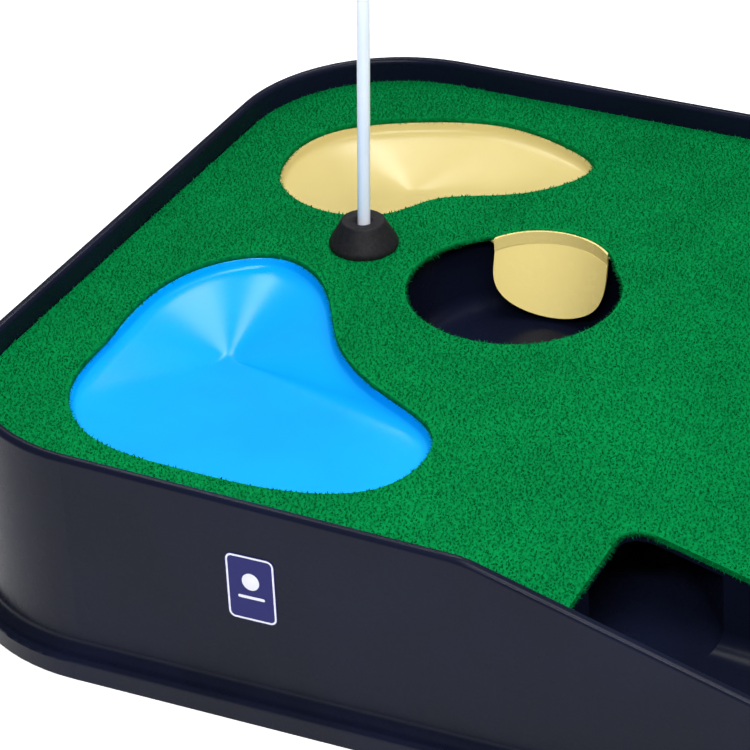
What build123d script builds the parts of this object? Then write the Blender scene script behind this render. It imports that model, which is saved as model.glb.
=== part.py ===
from build123d import *
import os
from math import atan2, cos, degrees, hypot, radians, sin, tan

# A practice putting mat. A raised moulded tray carries a turf deck with a hole, a blue water hazard, a
# yellow sand trap and a flagstick, and a channel under the deck rolls the ball back out at the foot of
# the ramp, where a roll-out turf runner joins the tray.
# Millimetres. X runs from the raised back of the tray to the player's end, Y across the tray towards
# the far side, Z up. The origin is on the floor, under the middle of the whole mat.
# "run" is the distance from the back rim's outer edge, "side" is Y, and "drop" is the depth below the
# line of the rim.

# Driving dimensions
overall_length = 1830.0
rim_width = 424.0
back_height = 113.0
plateau_slope = 0.038
ramp_slope = 0.29
ramp_start = 280.0
tray_length = 598.0
corner_radius = 88.0
crest_radius = 40.0
foot_radius = 25.0

# Shell
wall = 3.0
rim_bead = 5.5
wall_draft = 3.0
flange_reach = 14.0
flange_height = 11.0
rim_foot = 14.0
shelf_width = 10.0
rim_round = 2.2
flange_round = 2.5
flange_blend = 5.0

# Deck, turf and inserts
turf_drop = 12.7
turf_thickness = 2.8
deck_thickness = 2.5
panel_gap = 0.4
turf_gap = 0.6
insert_sheet = 1.2
insert_flange = 10.0
rebate_depth = 1.3
water_depth = 19.0
sand_depth = 17.0
bowl_lip = 7.5
bowl_lip_size = 0.95
bowl_floor_size = 0.22
bowl_wall_size = 0.015
bowl_overrun = 0.05
deck_drop = turf_drop + turf_thickness
deck_under = deck_drop + deck_thickness

# Hole and ball return
hole_run = 202.0
hole_side = 19.0
hole_radius = 52.5
cup_run = 203.0
cup_side = 24.0
cup_radius = 58.0
channel_wall = 2.5
channel_round = 10.0
floor_at_hole = 43.5
floor_fall_run = 0.075
floor_fall_side = 0.06
tunnel_end = (352.0, -165.0)
tunnel_width = 62.0
trough_start = 320.0
trough_far_side = -129.0
trough_corner = 13.0
turf_end = 568.0
mouth_wall_top = 9.0
mouth_start = 544.0
boss_radius = 6.5
post_radius = 8.0
post_wall = 2.0
screw_hole = 12.0
boss_height = 16.0
boss_reach = 66.5

# Ball deflector, a scoop that hangs in the cup from an upright band behind the turf's edge
deflector_run = 205.0
deflector_side = 42.0
deflector_sheet = 1.2
deflector_radius = 37.0
deflector_tip_radius = 30.0
deflector_tip_shift = 5.2
deflector_tip_height = 50.0
deflector_width = 58.0
deflector_band = 6.5
deflector_top_drop = turf_drop + 0.6
deflector_middle = 97.0
deflector_spread = 104.0
deflector_flange_radius = 52.0
rebate_margin = 1.5
rivet_radius = 1.6
rivet_reach = 48.0
rivet_turn = 28.0

# Flagstick
base_run = 117.5
base_side = 28.5
base_radius = 17.3
base_top_radius = 10.9
base_height = 14.5
base_round = 1.5
mouth_depth = 2.0
mouth_step = 0.2
neck_radius = 5.2
neck_length = 15.0
neck_gap = 0.05
washer_radius = 10.0
washer_thickness = 1.0
stick_radius = 3.15
stick_lean = 2.0
socket_clearance = 0.06
socket_floor = 2.5
stick_length = 345.0
flag_length = 110.0
flag_depth = 76.0
flag_thickness = 1.0
flag_top_gap = 9.0
sleeve_radius = 4.3
sleeve_gap = 0.4
collar_gap = 0.3
collar_radius = 5.0
collar_height = 5.0
cap_radius = 5.2

# Runner
runner_width = 406.0
runner_pile = 4.0
runner_backing_thickness = 1.5
tape_thickness = 0.75
tape_setback = 9.0
tape_inset = 3.0
tape_side_inset = 4.0
runner_start = 570.0
lip_clear = 600.0
runner_down = 638.0

# Screws, label
deck_screw_length = 8.0
boss_screw_length = 10.0
label_size = (24.0, 33.0)
label_run = 180.0
label_height = 65.0
label_thickness = 0.3
label_corner = 3.5

back = -overall_length / 2 + flange_reach
tray_front = back + tray_length
half_width = rim_width / 2
draft_rate = tan(radians(wall_draft))
runner_end = overall_length / 2 - back
reach = 300.0
block_height = 125.0

# Hazard outlines on the deck, as (run, side)
water_low_point = (97.0, -72.0)
water_outline = [
    (43, -86), (42, -50), (52, -19), (84, 4), (112, -9), (144, -55), (181, -87),
    (223, -117), (219, -159), (185, -178), (131, -182), (79, -174), (49, -139),
]
sand_low_point = (100.0, 120.0)
sand_outline = [
    (39, 96), (50, 140), (83, 163), (128, 176), (167, 167), (191, 148),
    (182, 121), (154, 99), (130, 85), (116, 64), (88, 52), (54, 65),
]


def rim_height(run):
    """Height of the rim at a distance from the back, before its bend is rounded."""
    flat = min(run, ramp_start)
    return back_height - plateau_slope * flat - ramp_slope * max(run - ramp_start, 0)


def side_at(run, inset):
    """Y of a line inside the drafted side wall, which spreads as the rim comes down."""
    return half_width - inset + (back_height - rim_height(run)) * draft_rate


def on_deck(run, side, drop=deck_drop):
    """Location on the deck's surface with Z along its normal."""
    slope = plateau_slope if run < ramp_start else ramp_slope
    rim = Plane(origin=(back + run, side, rim_height(run)), x_dir=(1, 0, -slope), z_dir=(slope, 0, 1))
    return rim.location * Pos(0, 0, -drop / hypot(1, slope))


def under_rim(drop, foot):
    """Everything under a surface at a constant drop below the rim, which levels out at foot."""
    crest = (back + ramp_start, rim_height(ramp_start) - drop)
    toe = (crest[0] + (crest[1] - foot) / ramp_slope, foot)
    start = -100.0
    first = (back + start, rim_height(start) - drop)
    far = back + tray_length + reach
    outline = make_face(Polyline(first, crest, toe, (far, foot), (far, -reach), (first[0], -reach),
                                 close=True))
    for corner, radius in ((crest, crest_radius), (toe, foot_radius)):
        nearest = outline.vertices().sort_by_distance((corner[0], corner[1], 0))[0]
        outline = fillet(nearest, radius)
    return extrude(Plane.XZ * outline, reach, both=True)


def plan(offset):
    """Plan outline at an offset outwards from the rim, round at the back and running past the front."""
    length = tray_length + 100 + offset
    outline = Pos(back - offset, 0) * Rectangle(length, rim_width + 2 * offset,
                                                align=(Align.MIN, Align.CENTER))
    corners = outline.vertices().sort_by(Axis.X)[:2]
    return fillet(corners, corner_radius + offset)


def tray_block(offset):
    """Block with drafted sides, at an offset outwards from the outside of the wall."""
    return extrude(plan(offset + back_height * draft_rate), block_height, taper=wall_draft)


def before(run):
    """Everything behind a distance from the back rim."""
    behind = (Align.MAX, Align.CENTER, Align.CENTER)
    return Pos(back + run, 0, 0) * Box(3 * reach, 3 * reach, 3 * reach, align=behind)


def outline_face(points, scale_by=1.0, centre=(0, 0)):
    """Closed smooth outline through points, scaled about a centre."""
    moved = [(centre[0] + scale_by * (x - centre[0]), centre[1] + scale_by * (y - centre[1]))
             for x, y in points]
    return make_face(Spline(*moved, periodic=True))


def countersunk_screw(length, radius=1.7, head_radius=3.5, head_height=2.0):
    """Screw with its head's top at the origin and its shank down."""
    screw = Cylinder(radius, length, align=hanging) + Cone(radius, head_radius, head_height, align=hanging)
    recess = Box(3.6, 0.7, 1.8) + Box(0.7, 3.6, 1.8)
    return screw - recess


def screw_cutter(length, radius=1.75, head_radius=3.6, head_height=2.05):
    """Hole for a countersunk screw."""
    hole = Cylinder(radius, length, align=hanging) + Cone(radius, head_radius, head_height, align=hanging)
    return hole + Cylinder(head_radius, 2, align=standing)


def trough_plan(grow):
    """Trough cut-out, square across the ramp with round back corners and open past the near rim."""
    length = reach + grow
    width = reach
    cut = Pos(back + trough_start - grow, trough_far_side + grow) * Rectangle(
        length, width, align=(Align.MIN, Align.MAX))
    corners = cut.vertices().sort_by(Axis.X)[:2].sort_by(Axis.Y)
    return fillet(corners[-1], trough_corner + grow)


def tunnel_plan(grow):
    """Tunnel from under the hole to the trough."""
    run_part = tunnel_end[0] - cup_run
    side_part = tunnel_end[1] - cup_side
    middle = Pos(back + (cup_run + tunnel_end[0]) / 2, (cup_side + tunnel_end[1]) / 2)
    return middle * SlotCenterToCenter(hypot(run_part, side_part), tunnel_width + 2 * grow,
                                       rotation=degrees(atan2(side_part, run_part)))


def cup_plan(grow):
    """Round cup under the hole."""
    return Pos(back + cup_run, cup_side) * Circle(cup_radius + grow)


def hole_plan():
    """Hole in the turf, cut wider round the ball deflector's band."""
    hole = Pos(back + hole_run, hole_side) * Circle(hole_radius)
    return hole + Pos(back + deflector_run, deflector_side) * Circle(deflector_radius + turf_gap)


def above_floor(lower):
    """Everything above the sloping floor of the ball return, lowered by some amount."""
    floor = Plane(origin=(back + cup_run, cup_side, floor_at_hole - lower),
                  x_dir=(1, 0, -floor_fall_run), z_dir=(floor_fall_run, -floor_fall_side, 1))
    return floor * Box(4 * reach, 4 * reach, reach, align=(Align.CENTER, Align.CENTER, Align.MIN))


standing = (Align.CENTER, Align.CENTER, Align.MIN)
hanging = (Align.CENTER, Align.CENTER, Align.MAX)

# Shared bodies of the tray
outside = tray_block(0)
inside_bead = tray_block(-rim_bead)
deck_top = under_rim(deck_drop, deck_thickness)
deck_bottom = under_rim(deck_under, 0)
below_deck_band = deck_bottom - under_rim(deck_under + boss_height, -boss_height)
tray_end = before(tray_length)

# Screw places: around the shelf and over the bosses of the ball return
shelf_screws = [(run, side_at(run, 11.0)) for run in (130, 250, 400, 520)]
shelf_screws += [(run, -side_at(run, 11.0)) for run in (130, 250)]
shelf_screws += [(11.0, side) for side in (-80, 80)]
boss_places = [
    (cup_run + boss_reach * cos(radians(20)), cup_side + boss_reach * sin(radians(20))),
    (cup_run + boss_reach * cos(radians(165)), cup_side + boss_reach * sin(radians(165))),
    (395.0, trough_far_side + channel_wall + boss_radius - 0.5),
    (500.0, trough_far_side + channel_wall + boss_radius - 0.5),
]
post_places = [(245.0, 150.0), (330.0, -60.0), (400.0, 120.0), (470.0, -40.0)]


def above(height):
    """Everything above a height over the floor."""
    return Pos(0, 0, height) * Box(4 * reach, 4 * reach, reach, align=(Align.MAX, Align.CENTER, Align.MIN))


def rim_edges(body):
    """Both long edges along the top of the rim, short of its front end."""
    chosen = []
    for edge in body.edges():
        middle = edge.center()
        line = max(rim_height(middle.X - back), rim_foot)
        along = edge.length > rim_bead + 0.2
        if along and abs(middle.Z - line) < 3 and middle.Z > rim_foot and middle.X < tray_front - 1:
            chosen.append(edge)
    return chosen


def ledge_edges(body, offset):
    """Edges on top of the flange, at an offset from the rim."""
    chosen = []
    for edge in body.edges().filter_by_position(Axis.Z, flange_height - 0.01, flange_height + 0.01):
        box = edge.bounding_box()
        flat = box.size.Z < 0.01
        beside = abs(max(abs(box.max.Y), abs(box.min.Y)) - half_width - offset) < 0.3
        behind = abs(back - offset - box.min.X) < 0.3
        if flat and (beside or behind) and edge.length > 20:
            chosen.append(edge)
    return chosen


def make_outer_shell():
    """Perimeter wall with its rim, the shelf under the deck and the flange on the floor."""
    ledge_under = flange_height - wall
    sheet = (outside - tray_block(-wall)) & above(ledge_under)
    bead = (outside - inside_bead) - deck_bottom
    flange = extrude(plan(flange_reach), flange_height) - tray_block(-wall)
    flange -= extrude(plan(flange_reach - wall), ledge_under)
    end_wall = extrude(plan(flange_reach), flange_height) + outside
    end_wall = end_wall - before(tray_length - wall) - inside_bead
    body = (sheet + bead + flange + end_wall) & under_rim(0, rim_foot) & tray_end & above(0)
    body = fillet(rim_edges(body), rim_round)
    body = fillet(ledge_edges(body, flange_reach), flange_round)
    body = fillet(ledge_edges(body, (back_height - flange_height) * draft_rate), flange_blend)
    shelf = (outside - tray_block(-wall - shelf_width)) & (deck_bottom - under_rim(deck_under + wall, 0))
    beside_trough = Pos(back + trough_start - 16, 0) * Box(reach, reach, reach,
                                                           align=(Align.MIN, Align.MAX, Align.CENTER))
    shelf = (shelf & before(tray_length - 70)) - beside_trough
    for run, side in shelf_screws:
        shelf -= on_deck(run, side) * screw_cutter(deck_screw_length + 2)
    return body + shelf


def floor_edges(body):
    """Edges of a hollow's sloping floor, short of its open mouth."""
    floor = body.faces().sort_by(Axis.Z)[0]
    return [edge for edge in floor.edges() if edge.center().X < back + turf_end + 9]


def sector(inner_radius, outer_radius, thickness, angle):
    """Part of a flat ring round the deflector's band, centred on its middle."""
    ring = extrude(Circle(outer_radius) - Circle(inner_radius), thickness)
    half = radians(angle / 2)
    far = 2 * outer_radius
    wedge = make_face(Polyline((0, 0), (far, far * tan(half)), (far, -far * tan(half)), close=True))
    return Rot(0, 0, deflector_middle) * (ring & extrude(wedge, thickness))


def flange_rebate():
    """Shallow recess in the deck and the cup's wall for the deflector's flange."""
    inner_radius = deflector_radius - rebate_margin
    outer_radius = deflector_flange_radius + rebate_margin
    recess = sector(inner_radius, outer_radius, 5 * rebate_depth, deflector_spread + 4)
    return on_deck(deflector_run, deflector_side) * Pos(0, 0, -rebate_depth) * recess


def make_return_channel():
    """Cup under the hole, tunnel under the deck and open trough, in one moulding with a sloping floor."""
    upright = extrude(cup_plan(channel_wall) + trough_plan(channel_wall), block_height)
    upright &= under_rim(deck_drop, mouth_wall_top)
    covered = extrude(tunnel_plan(channel_wall), block_height)
    for run, side in boss_places:
        boss = Pos(back + run, side) * Cylinder(boss_radius, block_height, align=standing)
        covered += boss & below_deck_band
    body = (upright + (covered & deck_bottom)) & above_floor(channel_wall)
    body &= tray_block(-rim_bead - panel_gap)
    hollow = extrude(cup_plan(0) + trough_plan(0), block_height)
    hollow += extrude(tunnel_plan(0), block_height) & deck_bottom
    hollow &= above_floor(0) & tray_block(-rim_bead - panel_gap - channel_wall) & before(turf_end + 10)
    body = (body - fillet(floor_edges(hollow), channel_round)) & before(turf_end - 1)
    body -= flange_rebate()
    for run, side in boss_places:
        body -= on_deck(run, side) * screw_cutter(boss_screw_length + 2)
    return body


def make_deck_panel():
    """Plateau, ramp and lip in one sheet, rebated for the inserts, on four legs."""
    panel = (tray_block(-rim_bead - panel_gap) & (deck_top - deck_bottom)) & tray_end
    fit = channel_wall + panel_gap
    trough = extrude(trough_plan(fit), block_height) & before(turf_end)
    panel -= extrude(cup_plan(fit), block_height) + trough
    for points in (water_outline, sand_outline):
        panel -= on_deck(0, 0) * Pos(0, 0, -rebate_depth) * extrude(widened(points, insert_flange + 0.5), 5)
        panel -= on_deck(0, 0) * Pos(0, 0, -5) * extrude(widened(points, insert_sheet + 0.6), 10)
    panel -= flange_rebate()
    panel -= on_deck(base_run, base_side) * Cylinder(neck_radius + 0.1, 20)
    for run, side in post_places:
        post = Circle(post_radius) - Circle(post_radius - post_wall)
        panel += Pos(back + run, side) * extrude(post, block_height) & deck_bottom
    for run, side in shelf_screws + boss_places:
        panel -= on_deck(run, side) * screw_cutter(screw_hole)
    for place in rivet_places():
        panel -= place * Cylinder(rivet_radius, 10)
    return panel


def make_deck_turf():
    """Artificial turf over the deck, cut out round the hole, the hazards, the trough and the flag base."""
    sheet = under_rim(turf_drop, deck_thickness + turf_thickness) - deck_top
    turf = tray_block(-rim_bead - turf_gap) & sheet
    turf &= before(turf_end)
    turf -= extrude(hole_plan() + trough_plan(0), block_height)
    turf -= extrude(trough_plan(channel_wall + turf_gap), block_height) - before(mouth_start)
    for points in (water_outline, sand_outline):
        turf -= on_deck(0, 0) * extrude(outline_face(points), 20, both=True)
    return turf - on_deck(base_run, base_side) * Cylinder(neck_radius + 0.1, 30)


def widened(points, margin):
    """Hazard outline moved outwards by a margin; its points run clockwise."""
    moved = []
    for (x0, y0), (x1, y1), (x2, y2) in zip(points[-1:] + points[:-1], points, points[1:] + points[:1]):
        along = hypot(x2 - x0, y2 - y0)
        moved.append((x1 - margin * (y2 - y0) / along, y1 + margin * (x2 - x0) / along))
    return outline_face(moved)


def bowl(points, low_point, depth, grow, top):
    """Bowl inside an outline: a short steep lip, then slopes that meet over a small floor."""
    levels = ((1.0 + grow, top), (bowl_lip_size + grow, -bowl_lip), (bowl_floor_size + grow, -depth))
    sections = [Pos(0, 0, height) * outline_face(points, size, low_point) for size, height in levels]
    return loft(sections, ruled=True)


def make_insert(points, low_point, depth):
    """Vacuum-formed hazard: a bowl with a flange that lies in the deck's rebate under the turf."""
    sheet = insert_sheet
    plate = Pos(0, 0, -sheet) * extrude(widened(points, insert_flange), sheet)
    outer = Pos(0, 0, -sheet) * bowl(points, low_point, depth, bowl_wall_size, sheet)
    inner = bowl(points, low_point, depth, 0.0, bowl_overrun)
    return on_deck(0, 0) * ((plate + outer) - inner)


def deflector_ring(height, inset):
    """Level circle of the leaning tongue at a height over the floor, which closes in towards the tip."""
    top = rim_height(deflector_run) - deflector_top_drop - deflector_band
    share = (top - height) / (top - deflector_tip_height)
    radius = deflector_radius - inset - share * (deflector_radius - deflector_tip_radius)
    return Pos(back + deflector_run, deflector_side - share * deflector_tip_shift, height) * Circle(radius)


def make_ball_deflector():
    """Upright band along the turf's edge, a tongue that leans into the cup and a flange under the turf."""
    middle = Pos(back + deflector_run, deflector_side)
    heights = (deflector_tip_height, block_height)
    tongue = loft([deflector_ring(height, 0) for height in heights], ruled=True)
    tongue -= loft([deflector_ring(height, deflector_sheet) for height in heights], ruled=True)
    bend = under_rim(deflector_top_drop + deflector_band, 0)
    ring = Circle(deflector_radius) - Circle(deflector_radius - deflector_sheet)
    band = (extrude(middle * ring, block_height) & under_rim(deflector_top_drop, 0)) - bend
    half = deflector_width / 2
    tip = Pos(0, deflector_tip_height + half) * Circle(half)
    straight = Pos(0, deflector_tip_height + half) * Rectangle(deflector_width, block_height,
                                                               align=(Align.CENTER, Align.MIN))
    prism = extrude(Plane.YZ * (tip + straight), 2 * deflector_radius)
    ahead = middle * Rot(0, 0, deflector_middle) * prism
    flange = on_deck(deflector_run, deflector_side) * Pos(0, 0, -deflector_sheet) * sector(
        deflector_radius - deflector_sheet / 2, deflector_flange_radius, deflector_sheet, deflector_spread)
    scoop = ((tongue & bend) + band) & ahead
    scoop += flange
    for place in rivet_places():
        scoop -= place * Cylinder(rivet_radius, 10)
    return scoop


def rivet_places():
    """Two rivets through the deflector's flange and the deck."""
    for turn in (deflector_middle - rivet_turn, deflector_middle + rivet_turn):
        yield on_deck(deflector_run, deflector_side) * Rot(0, 0, turn) * Pos(rivet_reach, 0, 0)


def make_rivet():
    """Flat-headed rivet, flush with the deflector's flange."""
    return Cylinder(rivet_radius, 3.0, align=hanging)


def make_flag_base():
    """Rubber cone with a neck through the deck and a blind socket that leans with the stick."""
    cone = Cone(base_radius, base_top_radius, base_height, align=standing)
    cone = fillet(cone.edges().sort_by(Axis.Z)[-1], base_round)
    neck = Cylinder(neck_radius, neck_length, align=hanging)
    socket = Cylinder(stick_radius + socket_clearance, neck_length + 2 * base_height, align=standing)
    mouth = Pos(0, 0, base_height - mouth_depth) * Cone(
        stick_radius + mouth_step, stick_radius + mouth_step + mouth_depth, mouth_depth, align=standing)
    body = on_deck(base_run, base_side, turf_drop) * (cone + neck - mouth)
    return body - on_stick(0) * socket


def make_base_washer():
    """Steel push-on washer that holds the base's neck under the deck."""
    ring = Cylinder(washer_radius, washer_thickness, align=hanging) - Cylinder(neck_radius + neck_gap, 10)
    return on_deck(base_run, base_side, deck_under) * ring


def on_stick(height):
    """Location on the stick's axis at a height above its foot; it leans towards the player's end."""
    foot = Pos(0, 0, socket_floor - neck_length + height)
    return on_deck(base_run, base_side, turf_drop) * Rot(0, stick_lean, 0) * foot


def make_flagstick():
    """Round rod with a chamfered foot."""
    rod = Cylinder(stick_radius, stick_length, align=standing)
    return on_stick(0) * chamfer(rod.edges().sort_by(Axis.Z)[0], 0.8)


def make_stick_cap():
    """Rounded cap on the stick's top."""
    ball = Sphere(cap_radius) & Pos(0, 0, -2) * Cylinder(cap_radius, 20, align=standing)
    return on_stick(stick_length + 2) * ball


def make_flag_collar():
    """Push-on collar that the flag's sleeve rests on."""
    ring = Cylinder(collar_radius, collar_height, align=hanging) - Cylinder(stick_radius, 20)
    return on_stick(flag_foot) * ring


def make_flag_cloth():
    """Pennant that tapers from its sleeve to a blunt tip."""
    tip = 0.28 * flag_depth
    middle = flag_depth / 2
    outline = make_face(Polyline((0, 0), (flag_length, middle - tip / 2), (flag_length, middle + tip / 2),
                                 (0, flag_depth), close=True))
    sleeve = Cylinder(sleeve_radius, flag_depth, align=standing)
    bore = Cylinder(stick_radius + sleeve_gap, flag_depth, align=standing)
    cloth = extrude(Plane.XZ * outline, flag_thickness / 2, both=True)
    return on_stick(flag_foot + collar_gap) * (cloth + sleeve - bore)


def runner_layer(bottom, thickness, start, end):
    """Layer of the runner that steps down from the tray's lip to the floor."""
    step = deck_thickness + 2 * tape_thickness
    lower = [(start, bottom + step), (lip_clear, bottom + step), (runner_down, bottom), (end, bottom)]
    upper = [(run, height + thickness) for run, height in reversed(lower)]
    outline = make_face(Polyline(*[(back + run, height) for run, height in lower + upper], close=True))
    return extrude(Plane.XZ * outline, runner_width / 2, both=True)


def make_runner_turf():
    """Turf of the runner."""
    return runner_layer(runner_backing_thickness, runner_pile, runner_start, runner_end)


def make_runner_backing():
    """Foam under the runner's turf."""
    return runner_layer(0, runner_backing_thickness, runner_start, runner_end)


def make_tape(level):
    """Half of the hook-and-loop pair between the lip and the runner."""
    run = turf_end + tape_setback
    size = (tray_length - run - tape_inset, runner_width - 2 * tape_side_inset, tape_thickness)
    strip = Box(*size, align=(Align.MIN, Align.CENTER, Align.MIN))
    return Pos(back + run, 0, deck_thickness + level) * strip


def make_side_label():
    """Thin plastic label with round corners on the near wall."""
    side = -side_out(label_height)
    slope = radians(wall_draft)
    place = (back + label_run, side, label_height)
    face = Plane(origin=place, x_dir=(1, 0, 0), z_dir=(0, -cos(slope), sin(slope)))
    return face * extrude(RectangleRounded(*label_size, label_corner), label_thickness)


def side_out(height):
    """Y of the wall's outside at a height above the floor."""
    return half_width + (back_height - height) * draft_rate


def group(places, piece):
    """Copies of a piece at several places, as one group of separate solids."""
    return Compound(children=[copy_of(place, piece) for place in places])


def copy_of(place, piece):
    """One copy of a piece at a place."""
    return (place * piece).solids()[0]


flag_foot = stick_length - flag_top_gap - flag_depth
shelf_places = [on_deck(*place) for place in shelf_screws]
channel_places = [on_deck(*place) for place in boss_places]
water_insert = make_insert(water_outline, water_low_point, water_depth)
sand_insert = make_insert(sand_outline, sand_low_point, sand_depth)
pieces = {
    "outer_shell": make_outer_shell(),
    "deck_panel": make_deck_panel(),
    "return_channel": make_return_channel(),
    "water_hazard_insert": water_insert,
    "sand_trap_insert": sand_insert,
    "ball_deflector": make_ball_deflector(),
    "deflector_rivets": group(rivet_places(), make_rivet()),
    "deck_turf": make_deck_turf(),
    "flag_base": make_flag_base(),
    "base_washer": make_base_washer(),
    "flagstick": make_flagstick(),
    "stick_cap": make_stick_cap(),
    "flag_collar": make_flag_collar(),
    "flag_cloth": make_flag_cloth(),
    "shelf_screws": group(shelf_places, countersunk_screw(deck_screw_length)),
    "channel_screws": group(channel_places, countersunk_screw(boss_screw_length)),
    "hook_tape": make_tape(0),
    "loop_tape": make_tape(tape_thickness),
    "runner_backing": make_runner_backing(),
    "runner_turf": make_runner_turf(),
    "side_label": make_side_label(),
}

os.makedirs("parts", exist_ok=True)
for name, piece in pieces.items():
    export_step(piece, f"parts/{name}.step")
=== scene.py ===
"""Practice putting mat: a moulded tray with a turf deck, two hazards, a hole and a flag, and a runner."""

import logging
import math
from collections.abc import Callable, Iterator, Sequence
from contextlib import contextmanager
from dataclasses import dataclass, replace
from enum import Enum

import bmesh
import bpy
import numpy as np
from mathutils import Matrix, Vector


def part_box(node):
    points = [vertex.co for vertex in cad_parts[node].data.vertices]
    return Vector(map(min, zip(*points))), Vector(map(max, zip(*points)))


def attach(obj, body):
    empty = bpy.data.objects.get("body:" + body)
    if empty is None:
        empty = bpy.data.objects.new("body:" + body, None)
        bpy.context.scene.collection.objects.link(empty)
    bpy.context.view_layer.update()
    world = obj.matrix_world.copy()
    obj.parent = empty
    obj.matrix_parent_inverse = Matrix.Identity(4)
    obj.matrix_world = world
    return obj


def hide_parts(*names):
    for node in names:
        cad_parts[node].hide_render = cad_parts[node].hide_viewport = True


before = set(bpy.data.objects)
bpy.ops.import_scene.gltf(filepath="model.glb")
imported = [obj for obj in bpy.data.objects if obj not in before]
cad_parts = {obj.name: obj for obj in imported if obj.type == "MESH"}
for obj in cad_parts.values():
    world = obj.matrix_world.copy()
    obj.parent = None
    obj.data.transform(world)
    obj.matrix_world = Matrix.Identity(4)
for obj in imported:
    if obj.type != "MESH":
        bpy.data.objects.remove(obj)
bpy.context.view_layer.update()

log = logging.getLogger("putting_mat")

MM = 0.001

Point = tuple[float, float]
Colour = tuple[float, float, float, float]


class Body(Enum):
    """Bodies that carry the pieces made here."""

    TRAY = "tray"
    FLAG = "flag"
    RUNNER = "runner"


class Slot(Enum):
    """Names of material slots; each hazard carries one."""

    TURF = "turf"
    BLUE = "blue_plastic"
    SAND = "sand_plastic"
    RUBBER = "rubber"
    WHITE = "white_plastic"
    FLAG = "flag_fabric"
    FOAM = "foam_backing"
    LABEL = "label_film"


# Nodes and colours


def linear(hex_colour: str) -> Colour:
    """Turn an sRGB hex colour into linear light.

    Args:
        hex_colour: Six hex digits after a hash.

    Returns:
        Red, green, blue and an alpha of one.
    """
    values = [int(hex_colour[i:i + 2], 16) / 255 for i in (1, 3, 5)]
    lit = [v / 12.92 if v <= 0.04045 else ((v + 0.055) / 1.055) ** 2.4 for v in values]
    return (lit[0], lit[1], lit[2], 1.0)


def per_metre(millimetres: float) -> float:
    """Texture scale that repeats a pattern every so many millimetres."""
    return 1.0 / (millimetres * MM)


def add_node(tree: bpy.types.NodeTree, kind: str, settings: dict | None = None,
             inputs: dict | None = None) -> bpy.types.Node:
    """Add a node with its settings, values and links.

    Args:
        tree: Node tree that gets the node.
        kind: The node's type name.
        settings: Properties of the node by name.
        inputs: Values, or sockets to link from, by input name or number.

    Returns:
        The new node.
    """
    node = tree.nodes.new(kind)
    for name, value in (settings or {}).items():
        setattr(node, name, value)
    for name, value in (inputs or {}).items():
        if isinstance(value, bpy.types.NodeSocket):
            tree.links.new(value, node.inputs[name])
        else:
            node.inputs[name].default_value = value
    return node


def blank_material(name: str) -> tuple[bpy.types.Material, bpy.types.NodeTree]:
    """Make a material with an empty node tree."""
    material = bpy.data.materials.new(name)
    material.use_nodes = True
    material.node_tree.nodes.clear()
    return material, material.node_tree


def noise(tree: bpy.types.NodeTree, size_mm: float, detail: float = 3.0,
          stretch: Sequence[float] = (1, 1, 1)) -> bpy.types.NodeSocket:
    """Noise in the piece's own coordinates.

    Args:
        tree: Material's node tree.
        size_mm: Size of the pattern's features.
        detail: Octaves of finer pattern.
        stretch: Factor on the pattern's frequency along each axis.

    Returns:
        The noise's factor.
    """
    place = add_node(tree, "ShaderNodeTexCoord").outputs["Object"]
    mapped = add_node(tree, "ShaderNodeMapping", inputs={"Vector": place, "Scale": stretch})
    made = add_node(tree, "ShaderNodeTexNoise", inputs={
        "Vector": mapped.outputs["Vector"], "Scale": per_metre(size_mm), "Detail": detail})
    return made.outputs["Fac"]


def blend_colours(tree: bpy.types.NodeTree, factor: bpy.types.NodeSocket, low: str, high: str,
                  between: Point = (0.35, 0.65)) -> bpy.types.NodeSocket:
    """Colour ramp between two hex colours.

    Args:
        tree: Material's node tree.
        factor: Socket that drives the ramp.
        low: Colour below the first stop.
        high: Colour above the second stop.
        between: Places of the two stops.

    Returns:
        The ramp's colour.
    """
    ramp = add_node(tree, "ShaderNodeValToRGB", inputs={"Fac": factor})
    for element, stop, colour in zip(ramp.color_ramp.elements, between, (low, high)):
        element.position = stop
        element.color = linear(colour)
    return ramp.outputs["Color"]


def map_range(tree: bpy.types.NodeTree, value: bpy.types.NodeSocket, low: float,
              high: float) -> bpy.types.NodeSocket:
    """Spread a factor that lies about one half over a range."""
    mapped = add_node(tree, "ShaderNodeMapRange", inputs={
        "Value": value, "From Min": 0.3, "From Max": 0.7, "To Min": low, "To Max": high})
    return mapped.outputs["Result"]


def bump(tree: bpy.types.NodeTree, height: bpy.types.NodeSocket, depth_mm: float,
         under: bpy.types.NodeSocket | None = None) -> bpy.types.NodeSocket:
    """Bump of a real depth, over another bump if there is one."""
    inputs = {"Height": height, "Distance": depth_mm * MM, "Strength": 1.0}
    if under is not None:
        inputs["Normal"] = under
    return add_node(tree, "ShaderNodeBump", inputs=inputs).outputs["Normal"]


def close_material(tree: bpy.types.NodeTree, **inputs: object) -> None:
    """Add the shader and the output of a material."""
    shader = add_node(tree, "ShaderNodeBsdfPrincipled", inputs={
        name.replace("_", " "): value for name, value in inputs.items()})
    add_node(tree, "ShaderNodeOutputMaterial", inputs={"Surface": shader.outputs["BSDF"]})


# Finishes


@dataclass(frozen=True)
class Finish:
    """A material and the nodes it is made of."""

    name: str

    def build(self) -> bpy.types.Material:
        """Make the material.

        Returns:
            The finished material.
        """
        material, tree = blank_material(self.name)
        self.draw(tree)
        return material

    def draw(self, tree: bpy.types.NodeTree) -> None:
        """Draw the nodes of the material."""
        raise NotImplementedError


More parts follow.
